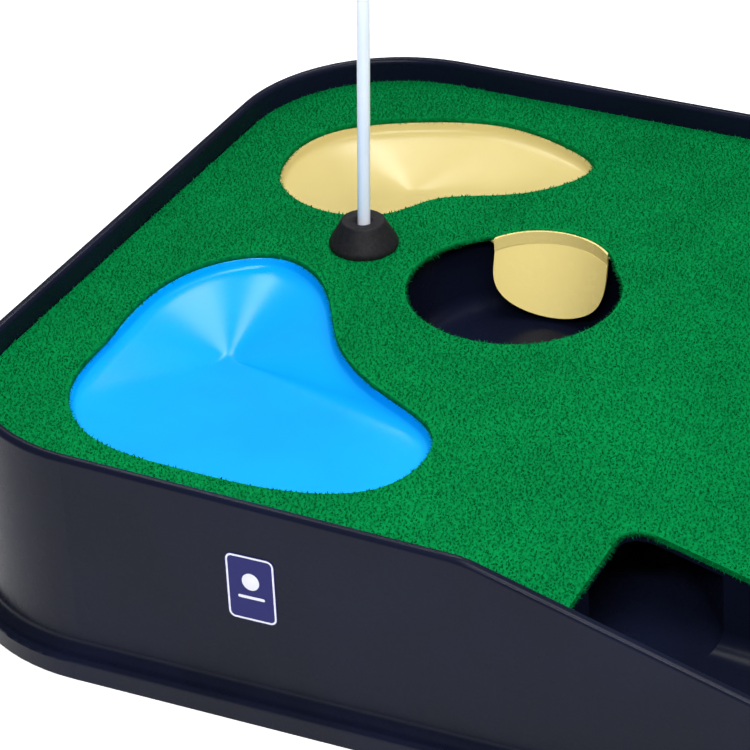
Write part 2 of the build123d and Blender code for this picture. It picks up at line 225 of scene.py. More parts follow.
@dataclass(frozen=True)
class MouldedPlastic(Finish):
    """Vacuum-formed or injected plastic: satin to glossy, with a fine tool grain and faint flow marks."""

    colour: str
    shade: str
    roughness: Point
    grain_mm: float = 0.7
    grain_depth_mm: float = 0.02
    wave_mm: float = 22.0
    wave_depth_mm: float = 0.03
    ior: float = 1.54
    gloss_level: float = 0.5

    def draw(self, tree: bpy.types.NodeTree) -> None:
        """Draw the nodes of the material."""
        colour = blend_colours(tree, noise(tree, 60.0), self.shade, self.colour)
        gloss = map_range(tree, noise(tree, 9.0, 5.0), *self.roughness)
        wave = bump(tree, noise(tree, self.wave_mm, 1.0), self.wave_depth_mm)
        grain = bump(tree, noise(tree, self.grain_mm, 2.0), self.grain_depth_mm, wave)
        close_material(tree, Base_Color=colour, Roughness=gloss, Normal=grain, IOR=self.ior,
                       Specular_IOR_Level=self.gloss_level)


@dataclass(frozen=True)
class BandedPlastic(Finish):
    """Cream plastic of the ball guard, with painted shade: its upright edge band is painted a deeper gold
    than the curved face, standing in for the shade on the band.
    """

    name: str = "formed_cream_guard"
    face: str = "#EBD88C"
    # Painted shade: the darker gold that stands in for the shade on the upright band.
    band: str = "#CFAF55"
    band_height: float = 142.2 * MM
    slope: float = 0.038
    back: float = -0.901
    boundary: float = 0.25 * MM
    gloss_level: float = 0.25

    def draw(self, tree: bpy.types.NodeTree) -> None:
        """Draw the nodes of the material."""
        place = add_node(tree, "ShaderNodeTexCoord").outputs["Object"]
        up = add_node(tree, "ShaderNodeVectorMath", {"operation": "DOT_PRODUCT"}, {
            0: place, 1: (self.slope, 0, 1)}).outputs["Value"]
        # Painted shade: above this level along the plateau's normal, the guard takes the darker band colour
        # in place of the face colour.
        level = self.band_height + self.slope * self.back
        inside = add_node(tree, "ShaderNodeMapRange", inputs={
            "Value": up, "From Min": level - self.boundary, "From Max": level + self.boundary})
        # A mix node's sockets 6 and 7 are its two colours, and its output 2 is their mix.
        mixed = add_node(tree, "ShaderNodeMix", {"data_type": "RGBA"}, {
            0: inside.outputs["Result"], 6: linear(self.face), 7: linear(self.band)})
        gloss = map_range(tree, noise(tree, 9.0, 5.0), 0.22, 0.3)
        wave = bump(tree, noise(tree, 45.0, 1.0), 0.03)
        close_material(tree, Base_Color=mixed.outputs[2], Roughness=gloss, Normal=wave, IOR=1.54,
                       Specular_IOR_Level=self.gloss_level)


@dataclass(frozen=True)
class TurfYarn(Finish):
    """Polypropylene turf fibre, matt with a soft sheen; each clump is a shade lighter or darker."""

    dark: str
    light: str
    clump_mm: float = 2.2

    def draw(self, tree: bpy.types.NodeTree) -> None:
        """Draw the nodes of the material."""
        clump = blend_colours(tree, noise(tree, self.clump_mm, 4.0), self.dark, self.light, (0.3, 0.7))
        patch = map_range(tree, noise(tree, 34.0, 3.0), 0.90, 1.08)
        toned = add_node(tree, "ShaderNodeHueSaturation", inputs={"Color": clump, "Value": patch})
        gloss = map_range(tree, noise(tree, 1.2, 2.0), 0.62, 0.85)
        rough = bump(tree, noise(tree, 0.9, 3.0), 0.15)
        close_material(tree, Base_Color=toned.outputs["Color"], Roughness=gloss, Normal=rough,
                       Specular_IOR_Level=0.03)


@dataclass(frozen=True)
class Rubber(Finish):
    """Moulded black rubber: matt, slightly brown, with a gritty skin."""

    name: str = "moulded_black_rubber"

    def draw(self, tree: bpy.types.NodeTree) -> None:
        """Draw the nodes of the material."""
        colour = blend_colours(tree, noise(tree, 1.6, 5.0), "#101219", "#231F1E", (0.35, 0.75))
        gloss = map_range(tree, noise(tree, 3.0), 0.5, 0.72)
        skin = bump(tree, noise(tree, 0.8, 4.0), 0.06)
        close_material(tree, Base_Color=colour, Roughness=gloss, Normal=skin, IOR=1.52,
                       Specular_IOR_Level=0.22)


@dataclass(frozen=True)
class Metal(Finish):
    """Zinc-plated steel with fine brushing along one axis."""

    colour: str
    shade: str
    roughness: Point = (0.28, 0.45)

    def draw(self, tree: bpy.types.NodeTree) -> None:
        """Draw the nodes of the material."""
        streak = noise(tree, 0.6, 3.0, (1, 12, 12))
        colour = blend_colours(tree, noise(tree, 3.0), self.shade, self.colour)
        gloss = map_range(tree, streak, *self.roughness)
        close_material(tree, Base_Color=colour, Roughness=gloss, Metallic=1.0,
                       Normal=bump(tree, streak, 0.01))


@dataclass(frozen=True)
class WovenCloth(Finish):
    """Plain-weave nylon: two sets of threads crossing, slightly shiny along each."""

    colour: str
    shade: str
    thread_mm: float = 0.9  # drawn about three times as coarse as the real thread so that it shows

    def draw(self, tree: bpy.types.NodeTree) -> None:
        """Draw the nodes of the material."""
        place = add_node(tree, "ShaderNodeTexCoord").outputs["Object"]
        threads = []
        for axis in ("X", "Z"):
            wave = add_node(tree, "ShaderNodeTexWave", {"bands_direction": axis, "wave_profile": "SIN"},
                            {"Vector": place, "Scale": per_metre(self.thread_mm) / 20, "Distortion": 0.4})
            threads.append(wave.outputs["Fac"])
        weave = add_node(tree, "ShaderNodeMath", {"operation": "MULTIPLY"}, {0: threads[0], 1: threads[1]})
        colour = blend_colours(tree, weave.outputs["Value"], self.shade, self.colour, (0.0, 0.8))
        gloss = map_range(tree, noise(tree, 5.0), 0.5, 0.7)
        close_material(tree, Base_Color=colour, Roughness=gloss, Sheen_Weight=0.4,
                       Normal=bump(tree, weave.outputs["Value"], 0.12))


@dataclass(frozen=True)
class Foam(Finish):
    """Closed-cell foam backing: matt, pitted with small cells."""

    colour: str
    shade: str
    cell_mm: float = 1.6

    def draw(self, tree: bpy.types.NodeTree) -> None:
        """Draw the nodes of the material."""
        place = add_node(tree, "ShaderNodeTexCoord").outputs["Object"]
        cells = add_node(tree, "ShaderNodeTexVoronoi", inputs={
            "Vector": place, "Scale": per_metre(self.cell_mm)}).outputs["Distance"]
        colour = blend_colours(tree, cells, self.shade, self.colour, (0.1, 0.7))
        close_material(tree, Base_Color=colour, Roughness=0.88, Normal=bump(tree, cells, 0.2))


@dataclass(frozen=True)
class Finishes:
    """Every material of the mat, built once."""

    black: bpy.types.Material
    turf_light: bpy.types.Material
    turf_mid: bpy.types.Material
    turf_dark: bpy.types.Material
    blue: bpy.types.Material
    sand: bpy.types.Material
    guard: bpy.types.Material
    rubber: bpy.types.Material
    white: bpy.types.Material
    steel: bpy.types.Material
    flag: bpy.types.Material
    foam: bpy.types.Material
    tape: bpy.types.Material
    label: bpy.types.Material
    label_white: bpy.types.Material

    @classmethod
    def build(cls) -> "Finishes":
        """Build all the materials.

        Returns:
            The set of finishes.
        """
        return cls(
            black=MouldedPlastic("formed_black_polystyrene", "#111528", "#0E1221", (0.24, 0.32),
                                 grain_mm=0.9, grain_depth_mm=0.012, gloss_level=0.09).build(),
            turf_light=TurfYarn("turf_yarn_light", "#006631", "#007F40").build(),
            turf_mid=TurfYarn("turf_yarn_mid", "#00602C", "#007639").build(),
            turf_dark=TurfYarn("turf_yarn_dark", "#005928", "#006D33").build(),
            blue=MouldedPlastic("formed_blue_polystyrene", "#00A2F6", "#009CF2", (0.15, 0.19),
                                grain_mm=3.0, grain_depth_mm=0.002, wave_mm=45.0, gloss_level=0.2).build(),
            sand=MouldedPlastic("formed_cream_polystyrene", "#D6C583", "#CFBD7B", (0.17, 0.22),
                                grain_mm=3.0, grain_depth_mm=0.002, wave_mm=45.0, gloss_level=0.2).build(),
            guard=BandedPlastic().build(),
            rubber=Rubber().build(),
            white=MouldedPlastic("white_glass_fibre_rod", "#F0F6FF", "#E6EEFA", (0.3, 0.42)).build(),
            steel=Metal("zinc_plated_steel", "#C9CBD0", "#9EA1A8").build(),
            flag=WovenCloth("woven_red_nylon", "#C41E24", "#8E1016").build(),
            foam=Foam("foam_backing", "#2C2E30", "#191A1C").build(),
            tape=WovenCloth("hook_and_loop_tape", "#1C1C1F", "#0C0C0E", 1.2).build(),
            label=MouldedPlastic("printed_navy_film", "#202262", "#1D1F5A", (0.3, 0.36),
                                 gloss_level=0.12).build(),
            label_white=MouldedPlastic("printed_white_film", "#D9DAE6", "#CFD1DF", (0.3, 0.36)).build(),
        )


# Mesh work


def add_object(name: str, data: bpy.types.ID) -> bpy.types.Object:
    """Put a mesh, a light or a camera into the scene."""
    made = bpy.data.objects.new(name, data)
    bpy.context.scene.collection.objects.link(made)
    return made


def select_none() -> None:
    """Leave no object selected."""
    bpy.ops.object.select_all(action="DESELECT")


def select_only(piece: bpy.types.Object) -> None:
    """Make one object selected and active."""
    select_none()
    piece.select_set(True)
    bpy.context.view_layer.objects.active = piece


@contextmanager
def editing(piece: bpy.types.Object, select: str = "SELECT") -> Iterator[None]:
    """Edit mode on one object, with all or nothing selected."""
    select_only(piece)
    bpy.ops.object.mode_set(mode="EDIT")
    bpy.ops.mesh.select_all(action=select)
    yield
    bpy.ops.object.mode_set(mode="OBJECT")


def apply_modifiers(piece: bpy.types.Object) -> None:
    """Apply every modifier on a piece in order."""
    select_only(piece)
    for modifier in list(piece.modifiers):
        bpy.ops.object.modifier_apply(modifier=modifier.name)


def thicken(piece: bpy.types.Object, thickness: float, offset: float = 0.0) -> None:
    """Give a surface a wall, inside it, outside it or on both sides."""
    wall = piece.modifiers.new("wall", "SOLIDIFY")
    wall.thickness = thickness
    wall.offset = offset
    apply_modifiers(piece)


def place_mesh(piece: bpy.types.Object, place: Matrix) -> None:
    """Move a piece's mesh into place, leaving its object at the origin."""
    select_only(piece)
    piece.matrix_world = place
    bpy.ops.object.transform_apply(location=True, rotation=True, scale=True)


def tidy_mesh(piece: bpy.types.Object, merge_mm: float = 0.002) -> None:
    """Merge doubles and point the faces outwards."""
    with editing(piece):
        bpy.ops.mesh.remove_doubles(threshold=merge_mm * MM)
        bpy.ops.mesh.normals_make_consistent(inside=False)


def smooth(piece: bpy.types.Object, degrees: float = 40.0) -> None:
    """Shade smooth but for the edges sharper than an angle."""
    select_only(piece)
    bpy.ops.object.shade_smooth_by_angle(angle=math.radians(degrees))


def dress(piece: bpy.types.Object, name: str, body: Body,
          material: bpy.types.Material) -> bpy.types.Object:
    """Name a finished piece, give it its material and let it ride on its body.

    Args:
        piece: The finished piece, with its place in its mesh.
        name: The piece's name.
        body: Body that carries it.
        material: Its material.

    Returns:
        The same piece.
    """
    piece.name = name
    piece.data.name = name
    piece.data.materials.clear()
    piece.data.materials.append(material)
    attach(piece, body.value)
    log.info("%s: %d faces on %s", name, len(piece.data.polygons), body.value)
    return piece


def repaint(material: bpy.types.Material, *nodes: str) -> None:
    """Give CAD nodes a better material."""
    for name in nodes:
        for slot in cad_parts[name].material_slots:
            slot.material = material


def copy_of_node(name: str, merge_mm: float = 0.01) -> bpy.types.Object:
    """Copy a CAD node's mesh into a new object with its points merged."""
    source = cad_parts[name]
    piece = add_object(name + "_copy", source.data.copy())
    piece.data.materials.clear()
    with editing(piece):
        bpy.ops.mesh.customdata_custom_splitnormals_clear()
        bpy.ops.mesh.remove_doubles(threshold=merge_mm * MM)
    return piece


def cut_across(piece: bpy.types.Object, axis: int, spacing: float) -> None:
    """Cut a piece's faces by evenly spaced planes.

    Args:
        piece: Piece to cut.
        axis: Axis that the planes stand across.
        spacing: Distance between planes.
    """
    places = [vertex.co[axis] for vertex in piece.data.vertices]
    normal = [float(axis == i) for i in range(3)]
    with editing(piece):
        place = min(places) + spacing
        while place < max(places) - spacing / 2:
            bpy.ops.mesh.select_all(action="SELECT")
            bpy.ops.mesh.bisect(plane_co=[place * n for n in normal], plane_no=normal)
            place += spacing


def disc(radius: float, points: int, filled: bool = True) -> bpy.types.Object:
    """Flat disc or ring of edges at the origin, ready to be drawn out into a turned shape."""
    select_none()
    fill = "NGON" if filled else "NOTHING"
    bpy.ops.mesh.primitive_circle_add(vertices=points, radius=radius, fill_type=fill)
    return bpy.context.object


def draw_out(steps: Sequence[tuple[float, float]], centre: Vector) -> None:
    """Extrude the selected face through rings.

    Args:
        steps: For each ring, how far it moves along Z and its size against the one before.
        centre: Point that the rings shrink about.
    """
    for rise, size in steps:
        bpy.ops.mesh.extrude_region_move(TRANSFORM_OT_translate={"value": (0, 0, rise)})
        bpy.ops.transform.resize(value=(size, size, 1), center_override=centre)


def turned(profile: Sequence[Point], points: int = 96) -> bpy.types.Object:
    """Solid of revolution about Z from a profile of radius and height in metres.

    Args:
        profile: From the bottom's radius to the top's, in order; both ends are closed with a disc.
        points: Points round each ring.

    Returns:
        The new object.
    """
    piece = disc(profile[0][0], points)
    piece.data.transform(Matrix.Translation((0, 0, profile[0][1])))
    steps = [(b[1] - a[1], b[0] / a[0]) for a, b in zip(profile, profile[1:])]
    with editing(piece):
        draw_out(steps, Vector((0, 0, 0)))
    tidy_mesh(piece)
    return piece


def closed_curve(points: Sequence[Point], count: int) -> list[Point]:
    """Smooth closed curve through a few points, sampled evenly.

    Args:
        points: Points in order round the outline.
        count: Number of samples.

    Returns:
        Samples round the curve.
    """
    knots = np.array(points, float)
    gaps = np.linalg.norm(np.roll(knots, -1, 0) - knots, axis=1)
    number = len(knots)
    before, after = np.roll(gaps, 1), gaps
    matrix = np.zeros((number, number))
    right = np.zeros((number, 2))
    for i in range(number):
        matrix[i, i - 1] = after[i]
        matrix[i, i] = 2 * (before[i] + after[i])
        matrix[i, (i + 1) % number] = before[i]
        ahead = (knots[(i + 1) % number] - knots[i]) / after[i]
        behind = (knots[i] - knots[i - 1]) / before[i]
        right[i] = 3 * (after[i] * behind + before[i] * ahead)
    slopes = np.linalg.solve(matrix, right)
    along = np.concatenate([[0], np.cumsum(gaps)])
    samples = []
    for distance in np.linspace(0, along[-1], count, endpoint=False):
        i = min(int(np.searchsorted(along, distance, "right")) - 1, number - 1)
        t = (distance - along[i]) / gaps[i]
        start, end = knots[i], knots[(i + 1) % number]
        bend = (2 * t ** 3 - 3 * t ** 2 + 1) * start + (t ** 3 - 2 * t ** 2 + t) * gaps[i] * slopes[i]
        bend = bend + (3 * t ** 2 - 2 * t ** 3) * end + (t ** 3 - t ** 2) * gaps[i] * slopes[(i + 1) % number]
        samples.append((float(bend[0]), float(bend[1])))
    return samples


# The tray's own geometry


@dataclass(frozen=True)
class TrayShape:
    """Planes and lines of the tray that the other pieces lie on, in metres."""

    back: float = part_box("outer_shell")[0].x + 14 * MM
    half_width: float = 212 * MM
    back_height: float = 113 * MM
    plateau_slope: float = 0.038
    corner_radius: float = 88 * MM
    turf_drop: float = 12.7 * MM
    deck_drop: float = 15.5 * MM

    def on_plateau(self, run_mm: float, side_mm: float, drop: float) -> Matrix:
        """Place on the plateau with Z along its normal, at a drop below the rim."""
        run = run_mm * MM
        slope = self.plateau_slope
        point = Vector((self.back + run, side_mm * MM, self.back_height - slope * run))
        normal = Vector((slope, 0, 1)).normalized()
        along = Vector((1, 0, -slope)).normalized()
        across = normal.cross(along)
        turn = Matrix((along, across, normal)).transposed().to_4x4()
        return Matrix.Translation(point - normal * (drop / math.hypot(1, slope))) @ turn

    def inside_rim(self, x: float, y: float) -> float:
        """Distance of a point inside the rim's outer edge in plan."""
        radius = self.corner_radius
        u, v = x - self.back, self.half_width - abs(y)
        if u < radius and v < radius:
            return radius - math.hypot(radius - u, radius - v)
        return min(u, v)


# Turf


class Nap(Enum):
    """Kinds of fibre on a sheet of turf."""

    UPRIGHT = "upright"
    FRINGE = "fringe"


@dataclass(frozen=True)
class Fibre:
    """One clump of fibre and how it is spread over a sheet."""

    kind: Nap
    length: float
    width: float
    spacing: float
    tilt: float
    seed: int
    centre_up: float = 0.42
    crowding: float = 1.6
    shortest: float = 0.65
    longest: float = 1.2

    def clump(self) -> bpy.types.Object:
        """Three-sided spike that stands for a clump of fibre, its foot just below the sheet."""
        select_none()
        bpy.ops.mesh.primitive_cone_add(vertices=3, radius1=self.width / 2, depth=self.length,
                                        location=(0, 0, self.length * self.centre_up))
        bpy.ops.object.transform_apply(location=True)
        return bpy.context.object

    def spread(self, host: bpy.types.Object) -> bpy.types.Object:
        """Plant the clumps over a sheet.

        Args:
            host: Sheet whose face attribute named for the kind says where the fibre grows.

        Returns:
            The fibre as one mesh.
        """
        clump = self.clump()
        nap = add_object("nap", host.data.copy())
        tree = bpy.data.node_groups.new("plant_fibre", "GeometryNodeTree")
        for way in ("INPUT", "OUTPUT"):
            tree.interface.new_socket("Geometry", in_out=way, socket_type="NodeSocketGeometry")
        sheet = add_node(tree, "NodeGroupInput")
        grows = add_node(tree, "GeometryNodeInputNamedAttribute", {"data_type": "FLOAT"},
                         {"Name": self.kind.value})
        points = add_node(tree, "GeometryNodeDistributePointsOnFaces", {"distribute_method": "POISSON"}, {
            "Mesh": sheet.outputs[0], "Distance Min": self.spacing,
            "Density Max": self.crowding / self.spacing ** 2, "Density Factor": grows.outputs[0],
            "Seed": self.seed})
        lean = add_node(tree, "FunctionNodeRandomValue", {"data_type": "FLOAT_VECTOR"}, {
            0: (-self.tilt, -self.tilt, -self.tilt), 1: (self.tilt,) * 3, "Seed": self.seed + 1})
        facing = add_node(tree, "ShaderNodeVectorMath", {"operation": "ADD"}, {
            0: points.outputs["Normal"], 1: lean.outputs[0]})
        spin = add_node(tree, "FunctionNodeRandomValue", {"data_type": "FLOAT_VECTOR"}, {
            0: (0, 0, 0), 1: (math.tau,) * 3, "Seed": self.seed + 2})
        turned_by = add_node(tree, "FunctionNodeEulerToRotation", inputs={0: spin.outputs[0]})
        stand = add_node(tree, "FunctionNodeAlignRotationToVector", {"axis": "Z"}, {
            "Rotation": turned_by.outputs[0], "Vector": facing.outputs[0]})
        size = add_node(tree, "FunctionNodeRandomValue", {"data_type": "FLOAT"}, {
            2: self.shortest, 3: self.longest, "Seed": self.seed + 3})
        shape = add_node(tree, "GeometryNodeObjectInfo", inputs={"Object": clump})
        planted = add_node(tree, "GeometryNodeInstanceOnPoints", inputs={
            "Points": points.outputs["Points"], "Instance": shape.outputs["Geometry"],
            "Rotation": stand.outputs[0], "Scale": size.outputs[1]})
        real = add_node(tree, "GeometryNodeRealizeInstances", inputs={0: planted.outputs[0]})
        add_node(tree, "NodeGroupOutput", inputs={0: real.outputs[0]})
        modifier = nap.modifiers.new("plant_fibre", "NODES")
        modifier.node_group = tree
        apply_modifiers(nap)
        bpy.data.objects.remove(clump)
        bpy.data.node_groups.remove(tree)
        clear_nap_marks(nap)
        return nap


def mark_nap(sheet: bpy.types.Object, edge: Callable[[Vector], bool]) -> None:
    """Mark on a sheet's faces where each kind of fibre grows.

    Args:
        sheet: Closed sheet of turf.
        edge: Says whether a cut edge at a point shows its fibre.
    """
    normals = [face.normal.z for face in sheet.data.polygons]
    upright = sheet.data.attributes.new(Nap.UPRIGHT.value, "FLOAT", "FACE")
    fringe = sheet.data.attributes.new(Nap.FRINGE.value, "FLOAT", "FACE")
    for face, up in zip(sheet.data.polygons, normals):
        upright.data[face.index].value = 1.0 if up > 0.5 else 0.0
        fringe.data[face.index].value = 1.0 if abs(up) < 0.5 and edge(face.center) else 0.0


def clear_nap_marks(sheet: bpy.types.Object) -> None:
    """Take the nap's marks off a sheet or a nap."""
    for name in [mark.name for mark in sheet.data.attributes if mark.name in (kind.value for kind in Nap)]:
        sheet.data.attributes.remove(sheet.data.attributes[name])


def plant_yarns(sheet: bpy.types.Object, owner: str, body: Body, first: Fibre,
                yarns: Sequence[bpy.types.Material]) -> list[bpy.types.Object]:
    """Plant one nap for each yarn.

    Args:
        sheet: Sheet that is marked for the fibre.
        owner: Start of the naps' names.
        body: Body that carries them.
        first: Fibre of the first yarn; the others differ only in their seed.
        yarns: Material of each yarn, from light to dark.

    Returns:
        The naps.
    """
    naps = []
    for turn, (name, material) in enumerate(zip(("nap_light", "nap_mid", "nap_dark"), yarns)):
        fibre = replace(first, seed=first.seed + 7 * turn)
        naps.append(dress(fibre.spread(sheet), f"{owner}_{name}", body, material))
    return naps


@dataclass
class TurfDeck:
    """Turf laid over the deck, with its nap in three yarns and a fringe along the cut edges."""

    shape: TrayShape
    finishes: Finishes
    nap: Fibre = Fibre(Nap.UPRIGHT, length=1.5 * MM, width=0.95 * MM, spacing=1.75 * MM, tilt=0.75, seed=11)
    fringe: Fibre = Fibre(Nap.FRINGE, length=2.2 * MM, width=0.35 * MM, spacing=0.75 * MM, tilt=0.9, seed=41)
    perimeter: float = 8 * MM
    cut_spacing: float = 20 * MM

    def build(self) -> None:
        """Build the sheet, its nap and its fringe."""
        sheet = copy_of_node("deck_turf")
        tidy_mesh(sheet)
        cut_across(sheet, 0, self.cut_spacing)
        cut_across(sheet, 1, self.cut_spacing)
        mark_nap(sheet, lambda at: self.shape.inside_rim(at.x, at.y) > self.perimeter)
        naps = plant_yarns(sheet, "deck_turf", Body.TRAY, self.nap,
                           (self.finishes.turf_light, self.finishes.turf_mid, self.finishes.turf_dark))
        naps.append(dress(self.fringe.spread(sheet), "deck_turf_fringe", Body.TRAY,
                          self.finishes.turf_mid))
        clear_nap_marks(sheet)
        # Painted light: the sheet gets the lightest yarn's colour so that it shows less of the shade it lies
        # in between the clumps.
        dress(sheet, "deck_turf_sheet", Body.TRAY, self.finishes.turf_light)
        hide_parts("deck_turf")


@dataclass
class Runner:
    """Roll-out turf runner on its foam backing."""

    finishes: Finishes
    nap: Fibre = Fibre(Nap.UPRIGHT, length=2.2 * MM, width=2.0 * MM, spacing=3.4 * MM, tilt=0.7, seed=61)
    cut_along: float = 21 * MM
    cut_over: float = 40 * MM

    def build(self) -> None:
        """Build the turf, its nap and the backing."""
        turf = self.layer("runner_turf")
        mark_nap(turf, lambda at: True)
        naps = plant_yarns(turf, "runner_turf", Body.RUNNER, self.nap,
                           (self.finishes.turf_light, self.finishes.turf_mid))
        clear_nap_marks(turf)
        dress(turf, "runner_turf_sheet", Body.RUNNER, self.finishes.turf_mid)
        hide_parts("runner_turf")
        backing = dress(self.layer("runner_backing"), "runner_backing_sheet", Body.RUNNER,
                        self.finishes.foam)
        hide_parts("runner_backing")

    def layer(self, node: str) -> bpy.types.Object:
        """Copy one layer of the runner, cut both ways so that the fibre spreads evenly."""
        piece = copy_of_node(node)
        cut_across(piece, 0, self.cut_along)
        cut_across(piece, 1, self.cut_over)
        return piece


# Hazards


@dataclass
class Hazard:
    """Vacuum-formed bowl with a thin lip and a flange under the turf; its slopes meet at a low point."""

    shape: TrayShape
    name: str
    node: str
    outline: Sequence[Point]
    low_point: Point
    depth_mm: float
    slot: Slot
    material: bpy.types.Material
    points: int = 192
    sheet_mm: float = 1.2
    flange_mm: float = 10.0

    def build(self) -> bpy.types.Object:
        """Build the bowl and put it in place of its CAD node."""
        curve = closed_curve(self.outline, self.points)
        piece = disc(1.0, self.points, filled=False)
        for vertex, (run, side) in zip(piece.data.vertices, curve):
            vertex.co = (run * MM, side * MM, 0)
        centre = Vector((self.low_point[0] * MM, self.low_point[1] * MM, 0))
        with editing(piece):
            draw_out(self.rings(), centre)
            bpy.ops.mesh.merge(type="CENTER")
        self.add_flange(piece, curve)
        smooth(piece, 50)
        place_mesh(piece, self.shape.on_plateau(0, 0, self.shape.deck_drop))
        dress(piece, self.name, Body.TRAY, self.material)
        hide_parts(self.node)
        return piece

    def rings(self) -> list[tuple[float, float]]:
        """Fall and shrink of each ring from the lip to the low point."""
        lip = [(1.0, 0.0), (0.997, 0.15), (0.993, 0.6), (0.988, 1.5), (0.983, 2.6), (0.977, 3.5),
               (0.969, 4.2), (0.958, 4.7), (0.944, 5.1)]
        inner_size, inner_depth = lip[-1]
        floor_size, floor_rise = 0.11, 0.9
        fall = (self.depth_mm - floor_rise - inner_depth) / (inner_size - floor_size)
        slope = [(size, inner_depth + fall * (inner_size - size))
                 for size in (0.86, 0.78, 0.7, 0.6, 0.5, 0.4, 0.3, 0.22, 0.15, floor_size)]
        floor = [(0.08, self.depth_mm - 0.45), (0.05, self.depth_mm - 0.15), (0.02, self.depth_mm - 0.02),
                 (0.004, self.depth_mm)]
        wanted = lip + slope + floor
        return [((before[1] - after[1]) * MM, after[0] / before[0])
                for before, after in zip(wanted, wanted[1:])]

    def add_flange(self, piece: bpy.types.Object, curve: Sequence[Point]) -> None:
        """Draw the bowl's edge out into its flange and give the sheet its thickness.

        Args:
            piece: The bowl, whose edge is its first ring of points.
            curve: The edge in millimetres.
        """
        edge = np.array(curve)
        along = np.roll(edge, -1, 0) - np.roll(edge, 1, 0)
        outwards = np.stack([-along[:, 1], along[:, 0]], 1) / np.linalg.norm(along, axis=1)[:, None]
        with editing(piece, "DESELECT"):
            mesh = bmesh.from_edit_mesh(piece.data)
            open_edges = [e for e in mesh.edges if e.is_boundary]
            made = bmesh.ops.extrude_edge_only(mesh, edges=open_edges)
            for vertex in (v for v in made["geom"] if isinstance(v, bmesh.types.BMVert)):
                nearest = int(np.argmin(np.hypot(*(edge * MM - np.array(vertex.co.xy)).T)))
                vertex.co.xy = Vector((edge[nearest] + outwards[nearest] * self.flange_mm) * MM)
            bmesh.update_edit_mesh(piece.data)
        tidy_mesh(piece)
        if sum(face.normal.z * face.area for face in piece.data.polygons) < 0:
            with editing(piece):
                bpy.ops.mesh.flip_normals()
        thicken(piece, self.sheet_mm * MM, -1.0)


WATER_OUTLINE: list[Point] = [
    (43, -86), (42, -50), (52, -19), (84, 4), (112, -9), (144, -55), (181, -87),
    (223, -117), (219, -159), (185, -178), (131, -182), (79, -174), (49, -139),
]
SAND_OUTLINE: list[Point] = [
    (39, 96), (50, 140), (83, 163), (128, 176), (167, 167), (191, 148),
    (182, 121), (154, 99), (130, 85), (116, 64), (88, 52), (54, 65),
]


# Flagstick and flag


